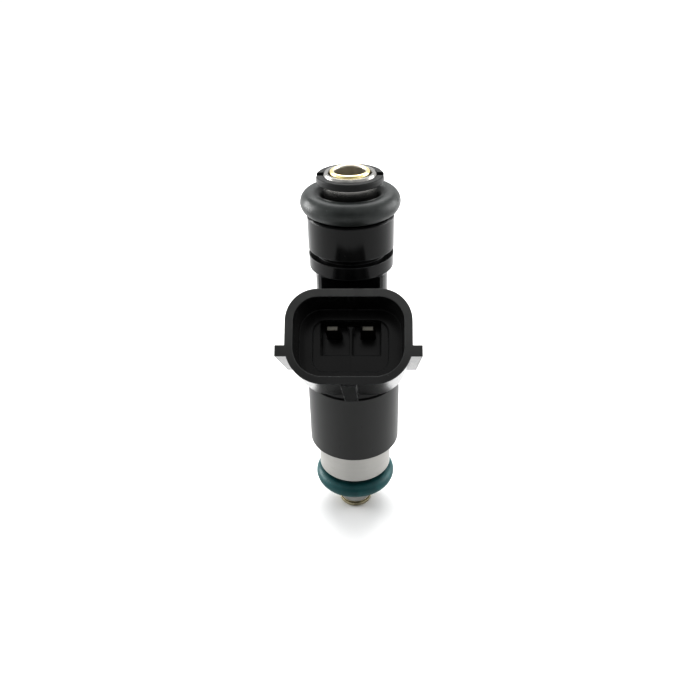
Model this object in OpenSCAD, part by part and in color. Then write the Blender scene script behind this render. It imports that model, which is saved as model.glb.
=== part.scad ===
// Top-feed solenoid fuel injector.
// The origin is the centre of the spray tip's end face. +Z runs up the fuel path to the inlet,
// and the electrical connector leans out towards -Y.

/* [Spray tip] */
// Radius of the spray tip's end cap
cap_r = 2.85; // [2.6:0.05:3]
// Height of the end cap's rim
cap_h = 0.85; // [0.7:0.05:1]
// Radius of the valve body's tip, above the cap
tip_r = 2.8; // [2.6:0.05:2.85]
// Height at which the valve body begins
tip_z = 1.3; // [1.25:0.05:1.5]

/* [Lower seal] */
// Mean radius of the lower O-ring
lower_ring_r = 5.61; // [5.6:0.05:5.8]
// Radius of the lower O-ring's section
lower_ring_t = 1.4; // [1.2:0.05:1.4]
// Height of the lower O-ring's middle
lower_ring_z = 6.95; // [6.9:0.05:7.4]
// Radius of the stem that the lower O-ring sits on
stem_r = 4.2; // [4:0.05:4.2]
// Outer radius of the lower retainer
retainer_r = 5.2; // [5:0.1:5.6]

/* [Valve body] */
// Radius of the steel nose below the coil can
nose_r = 6.28; // [6:0.02:6.28]
// Height of the nose's lower face
nose_z = 9.2; // [9:0.1:10]

/* [Coil can] */
// Outer radius of the coil can
can_r = 7.62; // [7.5:0.02:7.8]
// Height of the can's lower face
can_z = 15.2; // [15:0.1:15.4]
// Height of the can's open upper rim
can_top = 27.8; // [27.6:0.05:27.8]
// Wall thickness of the can
can_wall = 0.85; // [0.6:0.05:0.9]

/* [Inlet] */
// Outer radius of the inlet tube
tube_r = 3.9; // [3.8:0.02:3.9]
// Bore radius of the inlet tube
tube_bore = 3.05; // [3.04:0.01:3.06]
// Height of the inlet tube's upper lip
tube_top = 62.4; // [62.2:0.1:62.6]
// Bore radius of the filter's brass collar
inlet_bore = 2.23; // [2:0.01:2.3]
// Mean radius of the upper O-ring
upper_ring_r = 5.61; // [5.61:0.01:5.7]
// Radius of the upper O-ring's section
upper_ring_t = 1.7; // [1.5:0.05:1.7]
// Height of the upper O-ring's middle
upper_ring_z = 58.2; // [58.15:0.05:58.6]
// Outer radius of the upper retainer
keeper_r = 4.84; // [4.6:0.02:5]

/* [Housing] */
// Radius of the hat above the clip groove
hat_r = 6.4; // [6.2:0.05:6.5]
// Height of the hat's upper face
hat_top = 56.4; // [56.2:0.1:56.4]
// Height of the hat's lower face, the top of the clip groove
groove_top = 51.35; // [51.2:0.05:51.5]
// Width of the clip groove
groove_w = 1; // [0.8:0.05:1.2]
// Radius of the neck below the ring
neck_r = 5.48; // [5.2:0.02:5.6]

/* [Connector] */
// Angle of the connector above level
plug_tilt = 41; // [38:1:42]
// Distance from the injector's axis to the mouth, along the connector
plug_reach = 22.5; // [22:0.1:23]
// Outside width of the shroud
plug_w = 17.2; // [16.8:0.1:17.4]
// Outside height of the shroud
plug_h = 13; // [12.8:0.1:13]
// Wall thickness of the shroud at its mouth
plug_wall = 1.1; // [1:0.05:1.2]
// Width over the two side rails
rail_span = 19.8; // [19:0.1:20]
// Distance between the two blades
blade_pitch = 5.1; // [5:0.05:5.2]
// Width of a blade
blade_w = 2.2; // [2:0.05:2.3]
// Thickness of a blade
blade_t = 0.6; // [0.5:0.05:0.7]

/* [Valve] */
// Radius of the valve ball
ball_r = 1.2; // [1.15:0.01:1.2]
// Lift of the valve from its seat to the core
lift = 0.09; // [0.06:0.01:0.09]
// Radius of the armature
armature_r = 3; // [2.98:0.01:3.02]
// Number of turns in the return spring
spring_turns = 7; // [5:1:8]

/* [Hidden] */

$fn = 96;
gap = 0.02;          // assembly gap between pieces that seat in one another
seat_apex = 1.5;     // height where the seat's cone would close
seat_gap = 0.015;    // air between ball and seat, so that they never share volume
ball_z = seat_apex + ball_r * sqrt(2) + seat_gap;
guide_z = 3.07;      // lower face of the ball guide
shelf_z = 11.5;      // shelf in the valve body on which the inlet tube stands
flange_z = 16.2;     // upper face of the valve body, inside the can
can_floor = 16.3;    // inside face of the can's floor
armature_z = 13;
armature_top = 19.3;
core_z = armature_top + lift + 0.01;
core_top = 31;
spring_z = 16.5;     // spring seat in the armature
spring_top = 24;     // foot of the adjusting sleeve
spring_r = 1.1;
wire_r = 0.18;
bobbin_z = 17;
bobbin_top = 26.4;
cover_z = 26.5;
cover_top = 27.1;
filter_top = 62.7;
keeper_z = 61.1;
keeper_top = 62.1;
spigot_r = 6.65;     // housing inside the can's rim
shoulder_r = 7.45;   // housing above the can's rim
plug_pivot = 30.8;   // height where the connector's axis crosses the injector's axis
ledge_u = 14;        // floor of the shroud's outer cavity, along the connector
rail_v = -2;         // middle of the side rails, across the connector
rail_t = 1.5;
rib_w = 2.1;         // width of the rib under the shroud
rib_h = 1;           // how far the rib stands out at its back
rib_front = 0.25;    // how far it stands out at the mouth
plug_back = 6.8;     // back end of the shroud, along the connector
cell_floor = 8.6;    // bottom of the terminal cells, along the connector
blade_v = 2.2;       // middle of the blades, across the connector
blade_tip = 16;      // tip of the blades, along the connector
leg_y = -4.5;        // where a blade's leg goes down to the coil
groove_bottom = groove_top - groove_w;
ring_z = 48.4;       // lower edge of the ring below the clip groove
face_y = -5;         // flat front of the neck, above the connector
block_w = 9.5;       // width of the block behind the connector
block_edge = 0.45;   // chamfer on the block's upright edges

// A ring turned from an outline in the plane of radius and height
module turned(outline) rotate_extrude() polygon(outline);

module tube(r_out, r_in, z0, z1)
  turned([[r_in, z0], [r_out, z0], [r_out, z1], [r_in, z1]]);

module torus(r_mean, r_section, z)
  translate([0, 0, z]) rotate_extrude() translate([r_mean, 0]) circle(r = r_section, $fn = 64);

// Puts children in the connector's own frame: Z out of the mouth, Y across it and upwards
module on_plug() translate([0, 0, plug_pivot]) rotate([90 - plug_tilt, 0, 0]) children();

// The shroud's outline, with tighter corners above than below
module plug_outline(w, h, r_top, r_low) {
  translate([-w / 2, -h / 2 + r_low]) square([w, h - r_low - r_top]);
  translate([-w / 2 + r_top, 0]) square([w - 2 * r_top, h / 2]);
  translate([-w / 2 + r_low, -h / 2]) square([w - 2 * r_low, h / 2]);
  for (side = [-1, 1]) {
    translate([side * (w / 2 - r_top), h / 2 - r_top]) circle(r = r_top);
    translate([side * (w / 2 - r_low), -h / 2 + r_low]) circle(r = r_low);
  }
}

module plug_prism(w, h, r_top, r_low, u0, u1)
  translate([0, 0, u0]) linear_extrude(u1 - u0) plug_outline(w, h, r_top, r_low);

// ---- spray tip and valve seat -------------------------------------------------------------

module nozzle_cap() color("darkkhaki")
  turned([[1.5, 0.3], [1.8, 0], [cap_r - 0.3, 0], [cap_r, 0.3], [cap_r, cap_h], [2.5, cap_h],
          [2.5, tip_z - gap], [2.22, tip_z - gap], [2.22, 0.95], [1.5, 0.95]]);

module orifice_plate() color("silver") difference() {
  translate([0, 0, 0.97]) cylinder(r = 2.18, h = tip_z - gap - 0.97);
  for (turn = [0:90:270])
    rotate(turn + 45) translate([0.28, 0, 0.9]) cylinder(r = 0.12, h = 1, $fn = 24);
}

module valve_seat() color("gainsboro")
  turned([[0.4, tip_z + gap], [2.2, tip_z + gap], [2.2, 3.05], [3.05 - seat_apex, 3.05],
          [0.4, seat_apex + 0.4]]);

module ball_guide() color("lightgray") difference() {
  tube(2.2, ball_r + 0.03, guide_z, 3.75);
  for (turn = [0:72:288])
    rotate(turn) translate([1, -0.3, guide_z - 0.1]) cube([0.85, 0.6, 1]);
}

module valve_ball() color("silver") translate([0, 0, ball_z]) sphere(r = ball_r);

module needle_tube() color("silver") difference() {
  tube(1, 0.62, ball_z + 0.64, 15.5);
  translate([0, 0, ball_z]) sphere(r = ball_r + 0.005);
  for (turn = [0, 90])
    rotate(turn) translate([0, 0, 5.4]) rotate([90, 0, 0]) cylinder(r = 0.3, h = 4, center = true, $fn = 24);
}

module armature() color("dimgray") difference() {
  turned([[1.01, armature_z], [2.7, armature_z], [armature_r, armature_z + 0.3],
          [armature_r, armature_top - 0.2], [2.8, armature_top], [1.35, armature_top],
          [1.35, spring_z], [1.01, spring_z]]);
  for (turn = [45:90:315])
    rotate(turn) translate([2.1, 0, armature_z - 1]) cylinder(r = 0.35, h = 8, $fn = 32);
}

// ---- valve body and lower seal --------------------------------------------------------------

module valve_body() color("silver")
  turned([[2.22, tip_z], [tip_r, tip_z], [tip_r, 4], [3.3, 4.35], [stem_r - 0.1, 4.35],
          [stem_r, 4.45], [stem_r, 4.7], [3.9, 4.8], [3.9, 5.3], [stem_r, 5.4], [stem_r, nose_z],
          [nose_r - 0.25, nose_z], [nose_r, nose_z + 0.25], [nose_r, flange_z],
          [tube_r + gap, flange_z], [tube_r + gap, shelf_z], [2, shelf_z], [2, 4.5], [2.22, 4.3]]);

module lower_retainer() color("dimgray")
  turned([[stem_r + gap, 4.55], [retainer_r - 0.2, 4.55], [retainer_r, 4.75], [retainer_r, 5.2],
          [retainer_r - 0.2, 5.4], [stem_r + gap, 5.4], [3.95, 5.22], [3.95, 4.88], [stem_r + gap, 4.78]]);

module lower_o_ring() color("teal") torus(lower_ring_r, lower_ring_t, lower_ring_z);

// ---- coil and can -----------------------------------------------------------------------------

module coil_can() color([0.15, 0.15, 0.15])
  turned([[nose_r + gap, can_z], [can_r - 0.3, can_z], [can_r, can_z + 0.3], [can_r, can_top],
          [can_r - can_wall, can_top], [can_r - can_wall, can_floor], [nose_r + gap, can_floor]]);

module coil_bobbin() color("tan")
  turned([[tube_r + gap, bobbin_z], [6.3, bobbin_z], [6.3, bobbin_z + 0.8], [4.6, bobbin_z + 0.8],
          [4.6, bobbin_top - 0.8], [6.3, bobbin_top - 0.8], [6.3, bobbin_top], [tube_r + gap, bobbin_top]]);

module coil_winding() color("peru")
  tube(6.15, 4.62, bobbin_z + 0.85, bobbin_top - 0.85);

module yoke_cover() color("gainsboro") difference() {
  tube(can_r - can_wall - gap, tube_r + gap, cover_z, cover_top);
  translate([-3.6, -8, cover_z - 1]) cube([7.2, 8, 3]);
}

// ---- magnetic circuit and fuel inlet ----------------------------------------------------------

module inlet_tube() color("silver")
  turned([[tube_bore, shelf_z + gap], [tube_r, shelf_z + gap], [tube_r, tube_top - 0.6],
          [tube_r - 0.1, tube_top - 0.3], [tube_r - 0.3, tube_top], [tube_bore + 0.15, tube_top],
          [tube_bore, tube_top - 0.15]]);

module fixed_core() color("dimgray")
  turned([[1.5, core_z], [2.8, core_z], [tube_bore - gap, core_z + 0.2],
          [tube_bore - gap, core_top - 0.3], [2.7, core_top], [1.5, core_top]]);

// Open coil of round wire, swept ring by ring
function coil_point(turn, around, rise) =
  let (r = spring_r + wire_r * cos(around))
    [r * cos(360 * turn), r * sin(360 * turn), rise * turn + wire_r * sin(around)];

module return_spring() color("silver") {
  steps = 14;
  sides = 6;
  rings = spring_turns * steps;
  low = spring_z + wire_r + gap;
  rise = (spring_top - spring_z - 2 * wire_r - 2 * gap) / spring_turns;
  points = [for (ring = [0:rings], side = [0:sides - 1])
             coil_point(ring / steps, 360 * side / sides, rise)];
  walls = [for (ring = [0:rings - 1], side = [0:sides - 1])
            let (next = (side + 1) % sides)
              [ring * sides + side, (ring + 1) * sides + side,
               (ring + 1) * sides + next, ring * sides + next]];
  ends = [[for (side = [0:sides - 1]) side],
          [for (side = [0:sides - 1]) rings * sides + sides - 1 - side]];
  translate([0, 0, low]) polyhedron(points, concat(walls, ends));
}

module adjusting_sleeve() color("gray") difference() {
  tube(1.48, 0.9, spring_top, 30);
  translate([0, -0.2, spring_top - 1]) cube([2, 0.4, 8]);
}

module filter_collar() color("gold") {
  rounding = (2.9 - inlet_bore) / 2;
  turned([[inlet_bore, 57.6], [tube_bore - gap, 57.6], [tube_bore - gap, 60.3], [2.9, 60.5],
          [2.9, filter_top - rounding], [inlet_bore, filter_top - rounding]]);
  torus(inlet_bore + rounding, rounding, filter_top - rounding);
}

module filter_frame() color("ivory") {
  tube(2.2, 1.7, 56, 57.55);
  translate([0, 0, 45]) cylinder(r = 1.7, h = 0.8);
  for (turn = [0:120:240])
    rotate(turn) translate([1.35, -0.25, 45.7]) cube([0.34, 0.5, 10.4]);
}

module filter_mesh() color("lightgray") tube(1.3, 1.2, 45.85, 56.5);

module upper_o_ring() color([0.2, 0.22, 0.21]) torus(upper_ring_r, upper_ring_t, upper_ring_z);

module upper_retainer() color([0.12, 0.12, 0.12]) difference() {
  turned([[tube_r + gap, keeper_z], [keeper_r - 0.1, keeper_z], [keeper_r, keeper_z + 0.1],
          [keeper_r, keeper_top - 0.15], [keeper_r - 0.15, keeper_top], [tube_r + gap, keeper_top]]);
  translate([-8, -0.7, keeper_top - 0.6]) cube([16, 1.4, 2]);
}

// ---- electrical connector and housing -----------------------------------------------------------

// A blade with a tapered tip, and its leg down to the coil, grown by room on every side
module terminal(side, room = 0) translate([side * blade_pitch / 2, 0, 0]) {
  bend_u = (-leg_y + blade_v * sin(plug_tilt)) / cos(plug_tilt);
  bend_z = plug_pivot + bend_u * sin(plug_tilt) + blade_v * cos(plug_tilt);
  on_plug() translate([0, blade_v + blade_t / 2 + room, 0]) rotate([90, 0, 0])
    linear_extrude(blade_t + 2 * room)
      polygon([[-blade_w / 2 - room, bend_u - 0.3], [blade_w / 2 + room, bend_u - 0.3],
               [blade_w / 2 + room, blade_tip - 1], [0.75 + room, blade_tip + room],
               [-0.75 - room, blade_tip + room], [-blade_w / 2 - room, blade_tip - 1]]);
  translate([-0.6 - room, leg_y - 0.3 - room, bobbin_top + 0.02 - room])
    cube([1.2 + 2 * room, 0.6 + 2 * room, bend_z - bobbin_top + 0.1 + 2 * room]);
}

module terminal_left() color("silver") terminal(-1);

module terminal_right() color("silver") terminal(1);

// The turned core of the housing: shoulder, neck, ring and hat, with the neck's front cut flat
module housing_core() difference() {
  turned([[tube_r + gap, cover_top + gap], [spigot_r, cover_top + gap], [spigot_r, can_top + gap],
          [shoulder_r - 0.2, can_top + gap], [shoulder_r, can_top + 0.25], [shoulder_r, 29.8],
          [7.1, 30.6], [5.9, 31.6], [neck_r, 32.4], [neck_r, 47.4], [hat_r - 0.05, ring_z],
          [hat_r - 0.05, groove_bottom], [neck_r - 0.2, groove_bottom], [neck_r - 0.2, groove_top],
          [hat_r, groove_top], [hat_r, hat_top - 0.2], [hat_r - 0.2, hat_top],
          [tube_r + gap, hat_top]]);
  translate([-block_w / 2, face_y - 5, 33]) cube([block_w, 5, ring_z - 33.05]);
}

// The shroud with its rails, and the root that carries it from the shoulder and the neck
module plug_body() {
  on_plug() {
    plug_prism(plug_w, plug_h, 4.4, 5.3, plug_back, plug_reach);
    translate([-rail_span / 2, rail_v - rail_t / 2, 7.5]) cube([rail_span, rail_t, plug_reach - 7.5]);
    translate([-5.8, -4.6, 2]) cube([11.6, 9.8, 5]);
    translate([-rib_w / 2, -plug_h / 2, 0]) rotate([90, 0, 90]) linear_extrude(rib_w)
      polygon([[-rib_h, plug_back], [-rib_front, plug_reach - 0.5], [0.5, plug_reach - 0.5], [0.5, plug_back]]);
  }
  half = block_w / 2;
  translate([0, 0, 30]) linear_extrude(ring_z - 30.05)
    polygon([[-half, -1], [-half, face_y + block_edge], [-half + block_edge, face_y],
             [half - block_edge, face_y], [half, face_y + block_edge], [half, -1]]);
}

// What is open in the connector: cavity, pocket, and the cell that the web parts in two
module plug_hollow() on_plug() {
  wall = 2 * plug_wall;
  plug_prism(plug_w - wall, plug_h - wall, 3.4, 4, ledge_u, plug_reach + 5);
  plug_prism(11.1, 7.6, 1.8, 1.8, 13.2, ledge_u + 1);
  translate([-4.45, -1.3, cell_floor]) cube([8.9, 5, 6]);
}

// The thin wall between the two terminal cells
module plug_web() on_plug() {
  translate([-0.2, -1.5, cell_floor - 0.2]) cube([0.4, 4.1, 13.4 - cell_floor]);
  translate([0, 0, 10]) linear_extrude(3.2)
    polygon([[-0.2, 2.5], [0.2, 2.5], [0.55, 3], [-0.55, 3]]);
}

module housing() color([0.1, 0.1, 0.11]) difference() {
  union() {
    difference() {
      union() {
        housing_core();
        plug_body();
      }
      plug_hollow();
      translate([0, 0, can_top - 20]) cylinder(r = can_r + 0.04, h = 20 + gap);
    }
    plug_web();
    tube(spigot_r, tube_r + gap, cover_top + gap, can_top + 0.5);
  }
  translate([0, 0, 20]) cylinder(r = tube_r + gap, h = 40);
  terminal(-1, gap);
  terminal(1, gap);
}

nozzle_cap();
orifice_plate();
valve_seat();
ball_guide();
valve_ball();
needle_tube();
armature();
valve_body();
lower_retainer();
lower_o_ring();
coil_can();
coil_bobbin();
coil_winding();
yoke_cover();
inlet_tube();
fixed_core();
return_spring();
adjusting_sleeve();
filter_collar();
filter_frame();
filter_mesh();
upper_o_ring();
upper_retainer();
terminal_left();
terminal_right();
housing();
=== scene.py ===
"""Looks for a top-feed fuel injector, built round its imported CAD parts.

Every length is in metres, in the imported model's frame: the origin is the middle of the spray tip's
end face, +Z runs up to the fuel inlet, and the connector leans out towards -Y.
"""

import math

import bmesh
import bpy
from bpy.props import (
    FloatProperty,
    FloatVectorProperty,
    IntProperty,
    PointerProperty,
)
from mathutils import Matrix, Vector


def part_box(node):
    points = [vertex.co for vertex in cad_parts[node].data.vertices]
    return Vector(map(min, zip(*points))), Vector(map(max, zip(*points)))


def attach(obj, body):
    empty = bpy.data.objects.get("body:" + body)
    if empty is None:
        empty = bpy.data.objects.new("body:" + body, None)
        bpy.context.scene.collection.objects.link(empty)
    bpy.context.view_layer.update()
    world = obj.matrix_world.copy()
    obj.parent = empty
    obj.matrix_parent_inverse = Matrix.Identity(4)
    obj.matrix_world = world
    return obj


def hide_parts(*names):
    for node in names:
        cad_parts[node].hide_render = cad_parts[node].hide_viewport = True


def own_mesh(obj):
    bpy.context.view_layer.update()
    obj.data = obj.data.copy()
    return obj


bl_info = {
    "name": "Fuel Injector Looks",
    "version": (1, 0, 0),
    "blender": (4, 5, 0),
    "location": "View3D > Sidebar > Injector",
    "description": "Seals, spring, winding and filter screen, and a finish for every part",
    "category": "Object",
}

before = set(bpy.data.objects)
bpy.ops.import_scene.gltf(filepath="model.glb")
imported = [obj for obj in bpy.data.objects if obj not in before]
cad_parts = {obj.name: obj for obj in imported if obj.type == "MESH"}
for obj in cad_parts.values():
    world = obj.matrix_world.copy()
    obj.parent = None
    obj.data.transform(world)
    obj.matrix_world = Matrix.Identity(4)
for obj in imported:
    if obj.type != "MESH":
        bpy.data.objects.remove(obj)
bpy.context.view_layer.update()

MM = 0.001
BODY = "injector"

# The connector's axis leans this far above level, crosses the injector's axis at this height, and
# ends this far out at the mouth.
PLUG_TILT = math.radians(41)
PLUG_PIVOT = 30.8 * MM
PLUG_REACH = 22.5 * MM

# The filter collar's bore turns outwards over these radii; the painted light in the bore fades out
# across them.
COLLAR_BORE = 2.34 * MM
COLLAR_EDGE = 2.50 * MM


# ---- node trees as Python expressions -------------------------------------------------------


class Wire:
    """A node's output that takes part in Python sums, each of which adds a Math node."""

    def __init__(self, tree, socket):
        self.tree = tree
        self.socket = socket

    def _math(self, operation, *values):
        return self.tree.node("ShaderNodeMath", {"operation": operation}, dict(enumerate(values)))

    def __add__(self, other):
        return self._math("ADD", self, other)

    __radd__ = __add__

    def __sub__(self, other):
        return self._math("SUBTRACT", self, other)

    def __rsub__(self, other):
        return self._math("SUBTRACT", other, self)

    def __mul__(self, other):
        return self._math("MULTIPLY", self, other)

    __rmul__ = __mul__

    def __truediv__(self, other):
        return self._math("DIVIDE", self, other)

    def __pow__(self, other):
        return self._math("POWER", self, other)

    def __abs__(self):
        return self._math("ABSOLUTE", self)


class Tree:
    """A node tree being built, for a material, the world or a piece's geometry."""

    def __init__(self, node_tree):
        self.node_tree = node_tree
        self.nodes = node_tree.nodes
        self.links = node_tree.links

    def node(self, kind, settings=None, sockets=None, output=0):
        """Adds a node: its settings first, then its sockets' values or wires; gives one output."""
        made = self.nodes.new(kind)
        for name, value in (settings or {}).items():
            setattr(made, name, value)
        for key, value in (sockets or {}).items():
            if isinstance(value, Wire):
                self.links.new(value.socket, made.inputs[key])
            else:
                made.inputs[key].default_value = value
        return Wire(self, made.outputs[output])

    def sine(self, angle):
        return self.node("ShaderNodeMath", {"operation": "SINE"}, {0: angle})

    def cosine(self, angle):
        return self.node("ShaderNodeMath", {"operation": "COSINE"}, {0: angle})

    def turn_of(self, x, y):
        """The angle round the injector's axis."""
        return self.node("ShaderNodeMath", {"operation": "ARCTAN2"}, {0: y, 1: x})

    def step(self, value, low, high, start=0.0, end=1.0):
        """Start below low and end above high, with a smooth change between them."""
        return self.node(
            "ShaderNodeMapRange",
            {"interpolation_type": "SMOOTHSTEP"},
            {"Value": value, "From Min": low, "From Max": high, "To Min": start, "To Max": end},
        )

    def joined(self, x, y, z):
        return self.node("ShaderNodeCombineXYZ", None, {"X": x, "Y": y, "Z": z})

    def split(self, vector):
        return [
            self.node("ShaderNodeSeparateXYZ", None, {"Vector": vector}, axis) for axis in "XYZ"
        ]

    def scaled(self, vector, factors):
        return self.node("ShaderNodeVectorMath", {"operation": "MULTIPLY"}, {0: vector, 1: factors})


class Finish(Tree):
    """A material being built on Object coordinates, with the patterns that the parts share."""

    def __init__(self, name):
        self.material = bpy.data.materials.new(name)
        self.material.use_nodes = True
        super().__init__(self.material.node_tree)
        self.surface = self.nodes["Principled BSDF"]
        self.place = self.node("ShaderNodeTexCoord", output="Object")
        self.x, self.y, self.z = self.split(self.place)
        self.radius = (self.x * self.x + self.y * self.y) ** 0.5

    def grain(self, size, stretch=(1, 1, 1), detail=3.0, where=None):
        """Noise from 0 to 1 whose features are about that size, longer where stretch is large."""
        scale = [1 / (size * s) for s in stretch]
        return self.node(
            "ShaderNodeTexNoise",
            None,
            {"Vector": self.scaled(where or self.place, scale), "Scale": 1.0, "Detail": detail},
        )

    def turning(self, size, detail=4.0):
        """Fine lines that run round the axis, as a lathe leaves them."""
        arc = self.turn_of(self.x, self.y) * (size * 0.6)
        return self.grain(size, detail=detail, where=self.joined(self.radius, arc, self.z))

    def pits(self, size, share):
        """Scattered small marks: 1 in a mark, 0 between them."""
        cells = self.node(
            "ShaderNodeTexVoronoi",
            {"feature": "F1"},
            {"Vector": self.place, "Scale": 1 / size, "Randomness": 1.0},
        )
        return self.step(cells, share * 0.6, share, 1.0, 0.0)

    def rounded(self, radius):
        return self.node("ShaderNodeBevel", {"samples": 6}, {"Radius": radius}, "Normal")

    def edges(self, radius):
        """1 along outside and inside edges, 0 on open faces: edge wear, and in some finishes a
        painted highlight too.
        """
        face = self.node("ShaderNodeNewGeometry", output="True Normal")
        near = self.node(
            "ShaderNodeVectorMath",
            {"operation": "DOT_PRODUCT"},
            {0: self.rounded(radius), 1: face},
            "Value",
        )
        return self.step(near, 0.80, 0.985, 1.0, 0.0)

    def tint(self, share, first, second):
        """The first colour where share is 0, the second where it is 1."""
        return self.node(
            "ShaderNodeMix",
            {"data_type": "RGBA"},
            {0: share, 6: as_colour(first), 7: as_colour(second)},
            2,
        )

    def done(self, colour, roughness, height, depth, rounding, **constants):
        """Joins what varies to the surface shader, then sets its plain values."""
        soft = self.rounded(rounding)
        bump = self.node(
            "ShaderNodeBump",
            None,
            {"Strength": 1.0, "Distance": depth, "Height": height, "Normal": soft},
            "Normal",
        )
        for name, wire in (("Base Color", colour), ("Roughness", roughness), ("Normal", bump)):
            self.links.new(wire.socket, self.surface.inputs[name])
        for name, value in constants.items():
            self.surface.inputs[name.replace("_", " ")].default_value = value
        return self.material


def as_colour(value):
    return value if isinstance(value, Wire) else (*value, 1.0)


def shade(colour, factor):
    return tuple(min(1.0, c * factor) for c in colour)


# ---- finishes -------------------------------------------------------------------------------


def painted_mouth_light(f):
    """Where a painted reflection lightens the connector's end face: 1 on it, fading towards its
    lower side, and 0 elsewhere.
    """
    height = f.z - PLUG_PIVOT
    along = height * math.sin(PLUG_TILT) - f.y * math.cos(PLUG_TILT)
    across = height * math.cos(PLUG_TILT) + f.y * math.sin(PLUG_TILT)
    end = f.step(along, PLUG_REACH - 0.35 * MM, PLUG_REACH - 0.1 * MM)
    return end * f.step(across, -6 * MM, 1 * MM, 0.25, 1.0)


def moulded_plastic(name, colour, roughness, glass_fibre=1.0, connector=True):
    """Black glass-filled nylon: soft gloss, faint fibre swirl, scuffed edges and a painted highlight
    along its edges.

    The moulding with the connector also has a mould line, and a painted reflection that lightens its
    end face.
    """
    f = Finish(name)
    swirl = f.grain(2.2 * MM, (1, 1, 2.5))
    fibre = f.grain(0.16 * MM, (1, 1, 3), detail=5.0)
    edge = f.edges(0.16 * MM)
    dust = f.pits(0.9 * MM, 0.16) * f.step(f.grain(3 * MM), 0.52, 0.72)
    scuff = f.edges(0.55 * MM) * f.step(swirl + fibre * 0.4, 0.45, 0.85, 0.35, 1.0)
    # The edge mark is partly edge wear and partly a painted highlight where rounded edges catch
    # light; scuffs and dust are wear.
    marked_colour = f.tint(edge * 0.35 + scuff * 0.6 + dust * 0.2, colour, shade(colour, 11.0))
    gloss = roughness - 0.06 + swirl * 0.10 + fibre * 0.05 + dust * 0.2 + scuff * 0.12
    height = fibre * (0.55 * glass_fibre) + swirl * 1.6
    if connector:
        # Painted reflection: the connector's end face is painted lighter, fading towards its lower
        # side.
        marked_colour = f.tint(painted_mouth_light(f) * (0.55 + swirl * 0.6), marked_colour, (0.055, 0.056, 0.055))
        height = height + f.step(abs(f.x), 0.015 * MM, 0.06 * MM, 1.0, 0.0) * 1.6
    return f.done(marked_colour, gloss, height, 0.006 * MM, 0.18 * MM, Specular_IOR_Level=0.42)


def coated_steel(name, colour, roughness):
    """Thin black coat over a drawn steel sleeve: faint upright draw lines and a rubbed rim."""
    f = Finish(name)
    draw = f.grain(0.22 * MM, (1, 1, 40), detail=4.0)
    orange_peel = f.grain(0.30 * MM, detail=2.0)
    cloud = f.grain(4 * MM, (1, 1, 2))
    rubbed = f.edges(0.22 * MM) * f.step(f.grain(0.8 * MM), 0.42, 0.62)
    scratches = f.step(f.grain(0.12 * MM, (1, 1, 30), detail=1.0), 0.74, 0.80)
    paint = f.tint(cloud * 0.35 + draw * 0.15, shade(colour, 0.85), shade(colour, 1.35))
    marked_colour = f.tint(rubbed * 0.35 + scratches * 0.05, paint, (0.12, 0.117, 0.113))
    gloss = roughness - 0.07 + cloud * 0.10 + orange_peel * 0.06 - scratches * 0.06
    height = orange_peel * 0.7 + draw * 0.5 - scratches * 0.4
    return f.done(marked_colour, gloss, height, 0.007 * MM, 0.20 * MM, Specular_IOR_Level=0.5)


def turned_steel(name, colour, roughness, groove=0.10, rounding=0.10, streak=0.16):
    """Stainless steel off a lathe: fine rings, a little handling haze and brighter edges."""
    f = Finish(name)
    rings = f.turning(groove * MM)
    broad = f.turning(groove * 7 * MM, detail=2.0)
    haze = f.grain(1.8 * MM, detail=4.0)
    edge = f.edges(rounding * 1.3 * MM)
    stain = f.step(f.grain(2.6 * MM, (1, 1, 0.6), detail=5.0), 0.58, 0.80)
    metal = f.tint(rings * streak + broad * 0.3, shade(colour, 0.86), shade(colour, 1.12))
    marked_colour = f.tint(edge * 0.6, metal, shade(colour, 1.35))
    dulled = f.tint(stain * 0.25, marked_colour, shade(colour, 0.62))
    gloss = roughness - 0.08 + rings * 0.08 + haze * 0.12 + stain * 0.08
    return f.done(dulled, gloss, rings * 0.7 + haze * 0.2, 0.005 * MM, rounding * MM, Metallic=1.0)


def dull_brass(name, colour, roughness):
    """Brown-tinted brass with fuel varnish in patches."""
    f = Finish(name)
    rings = f.turning(0.08 * MM)
    varnish = f.step(f.grain(0.9 * MM, detail=5.0), 0.40, 0.66)
    edge = f.edges(0.14 * MM)
    metal = f.tint(varnish * 0.7, colour, shade(colour, 0.42))
    marked_colour = f.tint(edge * 0.7, metal, shade(colour, 1.5))
    gloss = roughness + varnish * 0.16 + rings * 0.06
    return f.done(marked_colour, gloss, rings * 0.6 + varnish * 0.5, 0.005 * MM, 0.12 * MM, Metallic=1.0)


def bright_brass(name, colour, roughness):
    """Freshly turned brass with fine rings and a few warmer bands, and a pale grey painted into its
    bore as painted light.
    """
    f = Finish(name)
    rings = f.turning(0.06 * MM)
    warm = f.grain(0.8 * MM, (1, 1, 0.4))
    metal = f.tint(warm, colour, (colour[0] * 0.92, colour[1] * 0.86, colour[2] * 0.72))
    # Painted light: inside the bore the colour turns pale grey and rougher, so the dark hole reads
    # lit.
    inside = f.step(f.radius, COLLAR_BORE, COLLAR_EDGE, 1.0, 0.0)
    marked_colour = f.tint(inside * 0.9, metal, (0.62, 0.60, 0.56))
    gloss = roughness + rings * 0.07 + warm * 0.05 + inside * 0.2
    return f.done(marked_colour, gloss, rings, 0.003 * MM, 0.10 * MM, Metallic=1.0)


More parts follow.
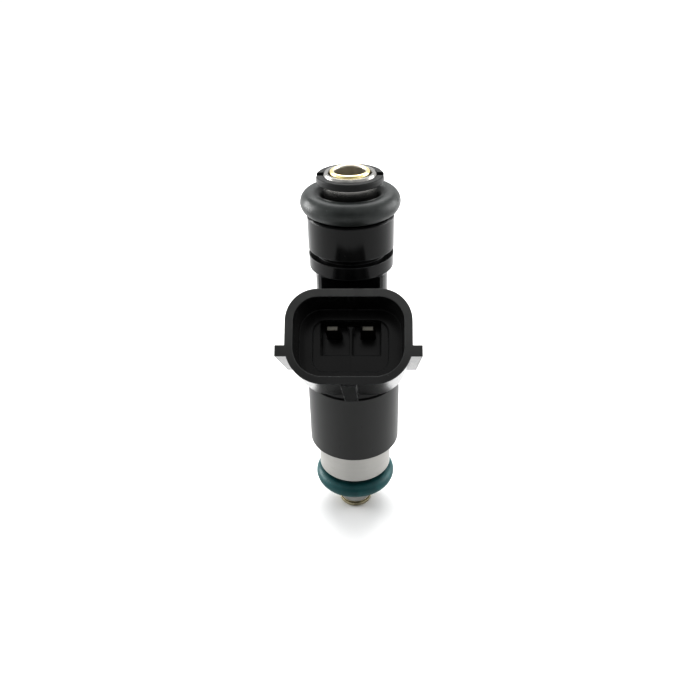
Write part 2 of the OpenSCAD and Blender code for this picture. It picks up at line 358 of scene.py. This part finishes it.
def seal_rubber(name, colour, roughness, bloom):
    """Moulded seal rubber: satin skin, fine pores, pale bloom and lint, and a shiny oiled patch."""
    f = Finish(name)
    pores = f.grain(0.09 * MM, detail=4.0)
    cloud = f.grain(1.6 * MM, detail=3.0)
    lint = f.pits(0.8 * MM, 0.14) * f.step(f.grain(2.4 * MM), 0.50, 0.66)
    skin = f.tint(cloud * 0.6 + pores * 0.2, shade(colour, 0.75), shade(colour, 1.3))
    dusty = f.tint(lint * 0.35 + cloud * cloud * 0.25, skin, bloom)
    oiled = f.step(f.grain(3.5 * MM, detail=2.0), 0.52, 0.70)
    gloss = roughness + pores * 0.10 + lint * 0.15 - oiled * 0.14
    return f.done(dusty, gloss, pores + cloud * 0.6, 0.006 * MM, 0.05 * MM, Specular_IOR_Level=0.5)


def plain_nylon(name, colour, roughness):
    """Unpainted nylon moulding, slightly clouded, with fine mould texture."""
    f = Finish(name)
    cloud = f.grain(1.3 * MM)
    pores = f.grain(0.12 * MM, detail=4.0)
    skin = f.tint(cloud, shade(colour, 0.8), shade(colour, 1.15))
    marked_colour = f.tint(f.edges(0.12 * MM) * 0.4, skin, shade(colour, 1.4))
    gloss = roughness - 0.05 + pores * 0.14
    return f.done(marked_colour, gloss, pores + cloud * 0.5, 0.006 * MM, 0.10 * MM)


def drawn_wire(name, colour, roughness):
    """Drawn wire with long die marks and small dark nicks."""
    f = Finish(name)
    marks = f.grain(0.05 * MM, (6, 6, 1), detail=3.0)
    nicks = f.pits(0.35 * MM, 0.18)
    metal = f.tint(marks, shade(colour, 0.8), shade(colour, 1.2))
    marked_colour = f.tint(nicks * 0.5, metal, shade(colour, 0.35))
    gloss = roughness + marks * 0.12 + nicks * 0.2
    return f.done(marked_colour, gloss, marks - nicks * 0.6, 0.003 * MM, 0.03 * MM, Metallic=1.0)


def tinned_blade(name, colour, roughness):
    """Tin-plated blade with rub marks along its length where a plug has slid on, and edges lightened
    partly by wear and partly as a painted highlight on the tips.
    """
    f = Finish(name)
    rub = f.grain(0.07 * MM, (1, 14, 14), detail=4.0)
    bloom = f.step(f.grain(0.6 * MM, detail=4.0), 0.45, 0.7)
    metal = f.tint(bloom * 0.6, colour, shade(colour, 0.6))
    # Painted highlight: the edge mark lightens the blade's edges and tips, partly as wear.
    marked_colour = f.tint(f.edges(0.08 * MM) * 0.6, metal, shade(colour, 1.3))
    gloss = roughness + rub * 0.10 + bloom * 0.12
    return f.done(marked_colour, gloss, rub, 0.003 * MM, 0.08 * MM, Metallic=1.0)


# ---- shapes ---------------------------------------------------------------------------------


def as_object(name, mesh):
    made = bpy.data.objects.new(name, mesh)
    bpy.context.scene.collection.objects.link(made)
    return made


def settle(made, body, node):
    """A finished piece rides on its body in place of its CAD node, which is hidden."""
    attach(made, body)
    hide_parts(node)
    return made


def lathed(name, profile, steps):
    """A closed ring of quads: profile gives (radius, height) points at each angle."""
    bm = bmesh.new()
    rows = []
    for i in range(steps):
        turn = 2 * math.pi * i / steps
        rows.append(
            [bm.verts.new((r * math.cos(turn), r * math.sin(turn), z)) for r, z in profile(turn)]
        )
    for i, row in enumerate(rows):
        after = rows[(i + 1) % steps]
        for j in range(len(row)):
            k = (j + 1) % len(row)
            bm.faces.new((row[j], after[j], after[k], row[k]))
    bmesh.ops.recalc_face_normals(bm, faces=bm.faces)
    for face in bm.faces:
        face.smooth = True
    mesh = bpy.data.meshes.new(name)
    bm.to_mesh(mesh)
    bm.free()
    return mesh


def seal_profile(mean, section, middle, flash, points=72):
    """A moulded O-ring's section, with a thin ragged flash line on its inside and its outside."""

    def at(turn):
        ragged = 0.7 + 0.2 * math.sin(5 * turn + 1) + 0.1 * math.sin(17 * turn)
        out = []
        for i in range(points):
            a = 2 * math.pi * i / points
            off_seam = min(abs(math.sin(a)) / 0.05, 4)
            reach = section - flash + flash * ragged * math.exp(-(off_seam**2))
            out.append((mean + reach * math.cos(a), middle + reach * math.sin(a)))
        return out

    return at


def geometry_tree(name, inputs):
    """A Geometry Nodes group with named inputs; gives the tree and a wire for each input."""
    group = bpy.data.node_groups.new(name, "GeometryNodeTree")
    group.interface.new_socket("Geometry", in_out="OUTPUT", socket_type="NodeSocketGeometry")
    for label, kind in inputs:
        group.interface.new_socket(label, in_out="INPUT", socket_type=kind)
    tree = Tree(group)
    source = group.nodes.new("NodeGroupInput")
    wires = {s.name: Wire(tree, s) for s in source.outputs if s.name}
    return tree, wires


def close_tree(tree, shape, material):
    """Ends a tree in real faces with their material."""
    real = tree.node("GeometryNodeRealizeInstances", None, {"Geometry": shape})
    smooth = tree.node("GeometryNodeSetShadeSmooth", None, {"Geometry": real})
    painted = tree.node(
        "GeometryNodeSetMaterial", None, {"Geometry": smooth, "Material": material}
    )
    end = tree.nodes.new("NodeGroupOutput")
    tree.links.new(painted.socket, end.inputs[0])


def grown(name, tree, values):
    """Runs a tree with the named values and keeps the result as a plain mesh."""
    host = as_object(name + "_source", bpy.data.meshes.new(name + "_source"))
    modifier = host.modifiers.new(name, "NODES")
    modifier.node_group = tree.node_tree
    by_name = {
        item.name: item.identifier
        for item in tree.node_tree.interface.items_tree
        if item.in_out == "INPUT"
    }
    for label, value in values.items():
        modifier[by_name[label]] = value
    host.update_tag()
    depsgraph = bpy.context.evaluated_depsgraph_get()
    mesh = bpy.data.meshes.new_from_object(host.evaluated_get(depsgraph))
    host.modifiers.remove(modifier)
    bpy.data.objects.remove(host)
    mesh.name = name
    if not mesh.polygons:
        raise RuntimeError(f"{name} came out empty")
    return as_object(name, mesh)


def wire_round(tree, curve, thickness, sides):
    """Gives a curve the thickness of wire."""
    ring = tree.node(
        "GeometryNodeCurvePrimitiveCircle", None, {"Resolution": sides, "Radius": thickness}
    )
    return tree.node(
        "GeometryNodeCurveToMesh", None, {"Curve": curve, "Profile Curve": ring, "Fill Caps": True}
    )


def helix(tree, given, points_per_turn, height):
    """A curve that climbs round the axis at the given radius."""
    return tree.node(
        "GeometryNodeCurveSpiral",
        None,
        {
            "Resolution": points_per_turn,
            "Rotations": given["Turns"],
            "Start Radius": given["Radius"],
            "End Radius": given["Radius"],
            "Height": height,
        },
    )


def moved(tree, shape, position):
    return tree.node(
        "GeometryNodeSetPosition", None, {"Geometry": shape, "Position": position}
    )


def spring_tree():
    """A coil of round wire whose first and last turns close up."""
    tree, given = geometry_tree(
        "closed_coil_spring",
        [
            ("Turns", "NodeSocketFloat"),
            ("Radius", "NodeSocketFloat"),
            ("Wire", "NodeSocketFloat"),
            ("Foot", "NodeSocketFloat"),
            ("Height", "NodeSocketFloat"),
            ("Closing", "NodeSocketFloat"),
            ("Material", "NodeSocketMaterial"),
        ],
    )
    coil = helix(tree, given, 40, given["Height"])
    x, y, z = tree.split(tree.node("GeometryNodeInputPosition"))
    whole = 2 * math.pi
    closed = z - given["Closing"] * given["Height"] * tree.sine(z / given["Height"] * whole) / whole
    shaped = moved(tree, coil, tree.joined(x, y, closed + given["Foot"]))
    close_tree(tree, wire_round(tree, shaped, given["Wire"], 14), given["Material"])
    return tree


def winding_tree():
    """Layers of enamelled wire, each wound in the valleys of the one below."""
    tree, given = geometry_tree(
        "layered_winding",
        [
            ("Turns", "NodeSocketInt"),
            ("Layers", "NodeSocketInt"),
            ("Radius", "NodeSocketFloat"),
            ("Wire", "NodeSocketFloat"),
            ("Foot", "NodeSocketFloat"),
            ("Material", "NodeSocketMaterial"),
        ],
    )
    pitch = given["Wire"] * 2.0
    coil = helix(tree, given, 56, pitch * given["Turns"])
    copies = tree.nodes.new("GeometryNodeDuplicateElements")
    copies.domain = "SPLINE"
    tree.links.new(coil.socket, copies.inputs["Geometry"])
    tree.links.new(given["Layers"].socket, copies.inputs["Amount"])
    layer = Wire(tree, copies.outputs["Duplicate Index"])
    x, y, z = tree.split(tree.node("GeometryNodeInputPosition"))
    narrower = 1.0 - layer * given["Wire"] * 1.74 / given["Radius"]
    odd = tree.node("ShaderNodeMath", {"operation": "MODULO"}, {0: layer, 1: 2.0})
    placed = tree.joined(x * narrower, y * narrower, z + given["Foot"] + odd * given["Wire"])
    shaped = moved(tree, Wire(tree, copies.outputs["Geometry"]), placed)
    close_tree(tree, wire_round(tree, shaped, given["Wire"], 7), given["Material"])
    return tree


def screen_tree():
    """A sleeve of plain-woven wire: standing wires and hoops that pass over and under in turn."""
    tree, given = geometry_tree(
        "woven_screen",
        [
            ("Standing", "NodeSocketInt"),
            ("Hoops", "NodeSocketInt"),
            ("Radius", "NodeSocketFloat"),
            ("Height", "NodeSocketFloat"),
            ("Foot", "NodeSocketFloat"),
            ("Wire", "NodeSocketFloat"),
            ("Material", "NodeSocketMaterial"),
        ],
    )
    pitch = given["Height"] / (given["Hoops"] - 1)
    line = tree.node(
        "GeometryNodeCurvePrimitiveLine",
        None,
        {"Start": (0, 0, 0), "End": tree.joined(0.0, 0.0, given["Height"])},
    )
    upright = tree.node(
        "GeometryNodeResampleCurve", None, {"Curve": line, "Count": (given["Hoops"] - 1) * 3 + 1}
    )
    feet = tree.node(
        "GeometryNodeMeshCircle", None, {"Vertices": given["Standing"], "Radius": given["Radius"]}
    )
    hoop = tree.node(
        "GeometryNodeCurvePrimitiveCircle",
        None,
        {"Resolution": given["Standing"] * 3, "Radius": given["Radius"]},
    )
    levels = tree.node(
        "GeometryNodeMeshLine",
        None,
        {"Count": given["Hoops"], "Offset": tree.joined(0.0, 0.0, pitch)},
    )
    x, y, z = tree.split(tree.node("GeometryNodeInputPosition"))
    angle = tree.turn_of(x, y)
    wave = tree.cosine(angle * given["Standing"] * 0.5) * tree.cosine(z / pitch * math.pi)
    parts = []
    for points, strand, side in ((feet, upright, 1.0), (levels, hoop, -1.0)):
        spread = tree.node(
            "GeometryNodeInstanceOnPoints", None, {"Points": points, "Instance": strand}
        )
        real = tree.node("GeometryNodeRealizeInstances", None, {"Geometry": spread})
        reach = given["Radius"] + wave * given["Wire"] * side
        woven = tree.joined(
            tree.cosine(angle) * reach, tree.sine(angle) * reach, z + given["Foot"]
        )
        parts.append(wire_round(tree, moved(tree, real, woven), given["Wire"], 5))
    both = tree.nodes.new("GeometryNodeJoinGeometry")
    for part in parts:
        tree.links.new(part.socket, both.inputs[0])
    close_tree(tree, Wire(tree, both.outputs[0]), given["Material"])
    return tree


# ---- settings -------------------------------------------------------------------------------


def length(name, description, default):
    return FloatProperty(
        name=name, description=description, default=default, unit="LENGTH", precision=5
    )


def angle(name, description, degrees):
    return FloatProperty(
        name=name, description=description, default=math.radians(degrees), subtype="ANGLE"
    )


def plain(name, description, default):
    return FloatProperty(name=name, description=description, default=default)


def count(name, description, default):
    return IntProperty(name=name, description=description, default=default, min=1)


def colour(name, description, default):
    return FloatVectorProperty(
        name=name, description=description, default=default, subtype="COLOR", size=3, min=0, max=1
    )


class SealSettings(bpy.types.PropertyGroup):
    """The two O-rings."""

    flash: length("Flash", "How far the mould line stands out of the ring", 0.035 * MM)
    upper: colour("Upper ring", "Rubber of the fuel rail's ring", (0.022, 0.026, 0.025))
    lower: colour("Lower ring", "Rubber of the manifold's ring", (0.002, 0.056, 0.061))
    upper_bloom: colour("Upper bloom", "Dust on the fuel rail's ring", (0.16, 0.17, 0.165))
    lower_bloom: colour("Lower bloom", "Dust on the manifold's ring", (0.05, 0.30, 0.30))
    steps: count("Steps", "Faces round each ring", 180)


class CoilSettings(bpy.types.PropertyGroup):
    """The return spring, the magnet winding and the filter screen."""

    spring_turns: plain("Spring turns", "Turns of the return spring", 7.0)
    spring_wire: length("Spring wire", "Radius of the spring's wire", 0.18 * MM)
    lift: length("Lift", "How far the open valve shortens the spring", 0.09 * MM)
    closing: FloatProperty(
        name="Closing",
        description="How far the spring's end turns close up",
        default=0.78,
        min=0,
        max=1,
        subtype="FACTOR",
    )
    winding_wire: length("Winding wire", "Radius of the enamelled wire", 0.14 * MM)
    winding_layers: count("Layers", "Layers of winding that are shown", 4)
    screen_wire: length("Screen wire", "Radius of the filter's wire", 0.022 * MM)
    screen_standing: count("Standing wires", "Upright wires in the screen", 44)
    screen_hoops: count("Hoops", "Hoops in the screen", 60)


class FinishSettings(bpy.types.PropertyGroup):
    """Colours of the hard parts."""

    housing: colour("Housing", "Moulded housing and connector", (0.0052, 0.0055, 0.0056))
    retainer: colour("Retainers", "Rings that hold the seals on", (0.0065, 0.0070, 0.0068))
    can: colour("Coil can", "Coat on the coil can", (0.025, 0.026, 0.0255))
    nose: colour("Nose", "Bare steel below the can", (0.45, 0.445, 0.43))
    steel: colour("Bright steel", "Inlet tube and inner valve parts", (0.66, 0.65, 0.63))
    tip: colour("Tip", "Brown-brass end cap", (0.50, 0.46, 0.34))
    brass: colour("Filter collar", "Bright brass in the inlet", (0.78, 0.71, 0.46))
    copper: colour("Winding", "Enamelled copper", (0.60, 0.24, 0.09))
    nylon: colour("Nylon", "Bobbin and filter frame", (0.50, 0.44, 0.31))
    iron: colour("Iron", "Soft iron of the magnet", (0.30, 0.30, 0.31))
    ball: colour("Ball", "Lapped steel of the valve ball", (0.75, 0.75, 0.76))
    # Painted shade: the blades' tin is darkened far below bright tin, for the dark pocket they sit
    # in.
    blade: colour("Blades", "Tin on the two terminals", (0.22, 0.215, 0.19))
    spring: colour("Spring", "Wire of the return spring", (0.50, 0.50, 0.49))
    screen: colour("Screen", "Wire of the filter screen", (0.42, 0.42, 0.40))


class StageSettings(bpy.types.PropertyGroup):
    """Floor, light and camera."""

    floor: colour("Floor", "Paper under the injector", (0.74, 0.74, 0.74))
    distance: length("Distance", "From the axis to the camera, along the floor", 97.0 * MM)
    height: length("Height", "Of the camera above the floor", 94.05 * MM)
    side: angle("Side", "How far round to +X the camera stands", 2.03)
    dip: angle("Dip", "How far the camera looks down", 32.36)
    yaw: angle("Yaw", "How far the camera looks past the axis", 0.30)
    lean: angle("Lean", "How far the camera leans clockwise", 1.2)
    lens: FloatProperty(name="Lens", description="Focal length", default=36.0, unit="CAMERA")
    contrast: plain("Contrast", "Gamma of the finished view", 0.70)
    softbox: plain("Softbox", "Power of the light behind", 1.8)


# ---- operators ------------------------------------------------------------------------------

VALVE_STEEL = ("valve_seat", "ball_guide", "orifice_plate", "needle_tube", "adjusting_sleeve")



def paint(node, material):
    """Gives a CAD node its finish."""
    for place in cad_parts[node].material_slots:
        place.material = material


def ring_size(node):
    """Mean radius, section radius and middle height of an O-ring's CAD solid."""
    low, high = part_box(node)
    section = (high.z - low.z) / 2
    return high.x - section, section, (high.z + low.z) / 2


class INJECTOR_OT_seals(bpy.types.Operator):
    """Moulded O-rings for the fuel rail and the manifold"""

    bl_idname = "injector.seals"
    bl_label = "O-rings"

    def execute(self, context):
        s = context.scene.injector_seals
        rail = seal_rubber("rail_seal_rubber", s.upper, 0.35, s.upper_bloom)
        manifold = seal_rubber("manifold_seal_rubber", s.lower, 0.36, s.lower_bloom)
        for node, slot, rubber in (
            ("upper_o_ring", "seal_grey", rail),
            ("lower_o_ring", "seal_teal", manifold),
        ):
            mean, section, middle = ring_size(node)
            mesh = lathed(node + "_moulded", seal_profile(mean, section, middle, s.flash), s.steps)
            mesh.materials.append(rubber)
            settle(as_object(node + "_moulded", mesh), BODY, node)
        return {"FINISHED"}


class INJECTOR_OT_spring(bpy.types.Operator):
    """Return spring with closed ends"""

    bl_idname = "injector.spring"
    bl_label = "Return spring"

    def execute(self, context):
        s = context.scene.injector_coils
        finishes = context.scene.injector_finishes
        low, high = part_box("return_spring")
        wire = s.spring_wire
        spring = grown(
            "return_spring_wound",
            spring_tree(),
            {
                "Turns": s.spring_turns,
                "Radius": high.x - wire,
                "Wire": wire,
                "Foot": low.z + wire,
                "Height": high.z - low.z - 2 * wire,
                "Closing": s.closing,
                "Material": drawn_wire("spring_wire", finishes.spring, 0.26),
            },
        )
        settle(spring, BODY, "return_spring")
        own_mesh(spring)
        return {"FINISHED"}


class INJECTOR_OT_winding(bpy.types.Operator):
    """Magnet winding of enamelled wire on the bobbin"""

    bl_idname = "injector.winding"
    bl_label = "Winding"

    def execute(self, context):
        s = context.scene.injector_coils
        finishes = context.scene.injector_finishes
        low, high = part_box("coil_winding")
        wire = s.winding_wire
        winding = grown(
            "coil_winding_wound",
            winding_tree(),
            {
                "Turns": int((high.z - low.z - 3 * wire) / (2 * wire)),
                "Layers": s.winding_layers,
                "Radius": high.x - wire,
                "Wire": wire,
                "Foot": low.z + wire,
                "Material": drawn_wire("enamelled_copper", finishes.copper, 0.24),
            },
        )
        settle(winding, BODY, "coil_winding")
        return {"FINISHED"}


class INJECTOR_OT_screen(bpy.types.Operator):
    """Woven wire screen of the inlet filter"""

    bl_idname = "injector.screen"
    bl_label = "Filter screen"

    def execute(self, context):
        s = context.scene.injector_coils
        finishes = context.scene.injector_finishes
        low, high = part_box("filter_mesh")
        screen = grown(
            "filter_screen_woven",
            screen_tree(),
            {
                "Standing": s.screen_standing,
                "Hoops": s.screen_hoops,
                "Radius": high.x - 2 * s.screen_wire,
                "Height": high.z - low.z - 2 * s.screen_wire,
                "Foot": low.z + s.screen_wire,
                "Wire": s.screen_wire,
                "Material": drawn_wire("screen_wire", finishes.screen, 0.34),
            },
        )
        settle(screen, BODY, "filter_mesh")
        return {"FINISHED"}


class INJECTOR_OT_plastics(bpy.types.Operator):
    """Finish of the moulded housing, the retainers, the bobbin and the filter frame"""

    bl_idname = "injector.plastics"
    bl_label = "Plastic parts"

    def execute(self, context):
        s = context.scene.injector_finishes
        paint("housing", moulded_plastic("housing_nylon", s.housing, 0.17))
        retainer = moulded_plastic("retainer_nylon", s.retainer, 0.34, 1.4, connector=False)
        for node in ("upper_retainer", "lower_retainer"):
            paint(node, retainer)
        paint("coil_bobbin", plain_nylon("bobbin_nylon", s.nylon, 0.45))
        paint("filter_frame", plain_nylon("filter_nylon", shade(s.nylon, 1.3), 0.42))
        return {"FINISHED"}


class INJECTOR_OT_metals(bpy.types.Operator):
    """Finish of the can, nose, inlet, valve and magnet parts"""

    bl_idname = "injector.metals"
    bl_label = "Metal parts"

    def execute(self, context):
        s = context.scene.injector_finishes
        paint("coil_can", coated_steel("can_coat", s.can, 0.33))
        paint("valve_body", turned_steel("nose_steel", s.nose, 0.42, groove=0.12, rounding=0.16))
        paint("nozzle_cap", dull_brass("tip_brass", s.tip, 0.34))
        paint("filter_collar", bright_brass("collar_brass", s.brass, 0.16))
        # Painted shade: the inlet tube's steel is darkened to about half the bright steel, dimming
        # its lip's reflection of the back light and the tube under the upper retainer.
        inlet = turned_steel("inlet_steel", shade(s.steel, 0.55), 0.22, groove=0.09, rounding=0.08)
        paint("inlet_tube", inlet)
        valve = turned_steel("valve_steel", s.steel, 0.26, groove=0.07, rounding=0.05)
        for node in VALVE_STEEL:
            paint(node, valve)
        paint("valve_ball", turned_steel("lapped_ball", s.ball, 0.10, 0.05, 0.02, 0.05))
        iron = turned_steel("magnet_iron", s.iron, 0.40, groove=0.14, rounding=0.10, streak=0.3)
        for node in ("armature", "fixed_core", "yoke_cover"):
            paint(node, iron)
        blade = tinned_blade("blade_tin", s.blade, 0.36)
        for node in ("terminal_left", "terminal_right"):
            paint(node, blade)
        return {"FINISHED"}


# Each softbox: its name, place and size, and its share of the power
SOFTBOXES = (
    ("softbox_back", (0.0, 0.20, 0.38), (0.40, 0.30), 1.0),
    ("softbox_left", (-0.34, 0.10, 0.12), (0.26, 0.22), 0.68),
    ("softbox_right", (0.34, 0.10, 0.12), (0.26, 0.22), 0.50),
    ("softbox_front", (0.02, -0.28, 0.36), (0.16, 0.12), 0.025),
)
LIT_POINT = Vector((0, 0, 0.03))


def area_light(name, place, size, power):
    """A rectangular light that faces the injector's middle."""
    data = bpy.data.lights.new(name, "AREA")
    data.shape = "RECTANGLE"
    data.size, data.size_y = size
    data.energy = power
    lamp = bpy.data.objects.new(name, data)
    lamp.location = place
    lamp.rotation_euler = (LIT_POINT - Vector(place)).to_track_quat("-Z", "Y").to_euler()
    bpy.context.scene.collection.objects.link(lamp)


def paper_floor(colour_value):
    """A wide sheet of pale paper with a faint tooth, painted paler far from the injector as painted
    light that makes up for the light falling off there.
    """
    bm = bmesh.new()
    rings, steps, edge = 8, 64, 6.0  # the edge is in metres
    middle = bm.verts.new((0, 0, 0))
    last = None
    for i in range(1, rings + 1):
        radius = edge * (i / rings) ** 2
        row = []
        for j in range(steps):
            turn = 2 * math.pi * j / steps
            row.append(bm.verts.new((radius * math.cos(turn), radius * math.sin(turn), 0)))
        for j in range(steps):
            k = (j + 1) % steps
            inner = (middle,) if last is None else (last[k], last[j])
            bm.faces.new((*inner, row[j], row[k]))
        last = row
    mesh = bpy.data.meshes.new("paper_floor")
    bm.to_mesh(mesh)
    bm.free()
    f = Finish("floor_paper")
    tooth = f.grain(0.4 * MM, detail=4.0)
    near = f.tint(tooth * 0.5, colour_value, shade(colour_value, 0.99))
    mesh.materials.append(
        f.done(
            # Painted light: the paper turns paler away from the injector, so the far floor reads
            # white while the paper near it stays darker.
            f.tint(f.step(f.radius, 0.08, 0.40), near, shade(colour_value, 1.3)),
            0.65 + tooth * 0.1,
            tooth,
            0.01 * MM,
            0.01 * MM,
            Specular_IOR_Level=0.3,
        )
    )
    floor = as_object("paper_floor", mesh)
    return floor


def room_light():
    """A pale room, dimmer on the camera's side."""
    world = bpy.data.worlds.new("room")
    world.use_nodes = True
    bpy.context.scene.world = world
    tree = Tree(world.node_tree)
    x, y, z = tree.split(tree.node("ShaderNodeTexCoord", output="Generated"))
    bright = tree.step(y + abs(x) * 0.9 + z * 0.7, -0.7, 0.6, 0.05, 1.2)
    shell = tree.nodes["Background"]
    shell.inputs["Color"].default_value = (1, 1, 1, 1)
    tree.links.new(bright.socket, shell.inputs["Strength"])


def front_camera(s):
    """The camera looks down on the injector from the connector's side."""
    data = bpy.data.cameras.new("camera")
    data.lens, data.sensor_width = s.lens, 36.0
    data.clip_start, data.clip_end = 0.005, 50.0
    camera = bpy.data.objects.new("camera", data)
    bpy.context.scene.collection.objects.link(camera)
    spot = Vector((math.sin(s.side) * s.distance, -math.cos(s.side) * s.distance, s.height))
    heading = s.side + s.yaw
    level = math.cos(s.dip)
    forward = Vector((-math.sin(heading) * level, math.cos(heading) * level, -math.sin(s.dip)))
    right = forward.cross(Vector((0, 0, 1))).normalized()
    up = right.cross(forward)
    lean = Matrix.Rotation(s.lean, 3, forward)
    turned = Matrix((lean @ right, lean @ up, -forward)).transposed()
    camera.matrix_world = Matrix.Translation(spot) @ turned.to_4x4()
    bpy.context.scene.camera = camera


class INJECTOR_OT_stage(bpy.types.Operator):
    """Pale floor, soft light and the camera"""

    bl_idname = "injector.stage"
    bl_label = "Stage"

    def execute(self, context):
        s = context.scene.injector_stage
        paper_floor(s.floor)
        room_light()
        front_camera(s)
        for name, place, size, share in SOFTBOXES:
            area_light(name, place, size, s.softbox * share)
        context.scene.view_settings.view_transform = "Standard"
        context.scene.view_settings.gamma = s.contrast
        return {"FINISHED"}


class INJECTOR_PT_panel(bpy.types.Panel):
    """Every step of the injector's looks"""

    bl_label = "Fuel injector"
    bl_idname = "INJECTOR_PT_panel"
    bl_space_type = "VIEW_3D"
    bl_region_type = "UI"
    bl_category = "Injector"

    def draw(self, context):
        for settings in SETTINGS:
            group = getattr(context.scene, settings)
            box = self.layout.box()
            for name in group.__annotations__:
                box.prop(group, name)
        for operator in OPERATORS:
            self.layout.operator(operator.bl_idname)


SETTINGS = {
    "injector_seals": SealSettings,
    "injector_coils": CoilSettings,
    "injector_finishes": FinishSettings,
    "injector_stage": StageSettings,
}
OPERATORS = (
    INJECTOR_OT_seals,
    INJECTOR_OT_spring,
    INJECTOR_OT_winding,
    INJECTOR_OT_screen,
    INJECTOR_OT_plastics,
    INJECTOR_OT_metals,
    INJECTOR_OT_stage,
)


def register():
    for made in (*SETTINGS.values(), *OPERATORS, INJECTOR_PT_panel):
        bpy.utils.register_class(made)
    for name, settings in SETTINGS.items():
        setattr(bpy.types.Scene, name, PointerProperty(type=settings))


def unregister():
    for name in SETTINGS:
        delattr(bpy.types.Scene, name)
    for made in reversed((*SETTINGS.values(), *OPERATORS, INJECTOR_PT_panel)):
        bpy.utils.unregister_class(made)


def main():
    register()
    for operator in OPERATORS:
        area, step = operator.bl_idname.split(".")
        getattr(getattr(bpy.ops, area), step)()


if __name__ == "__main__":
    main()
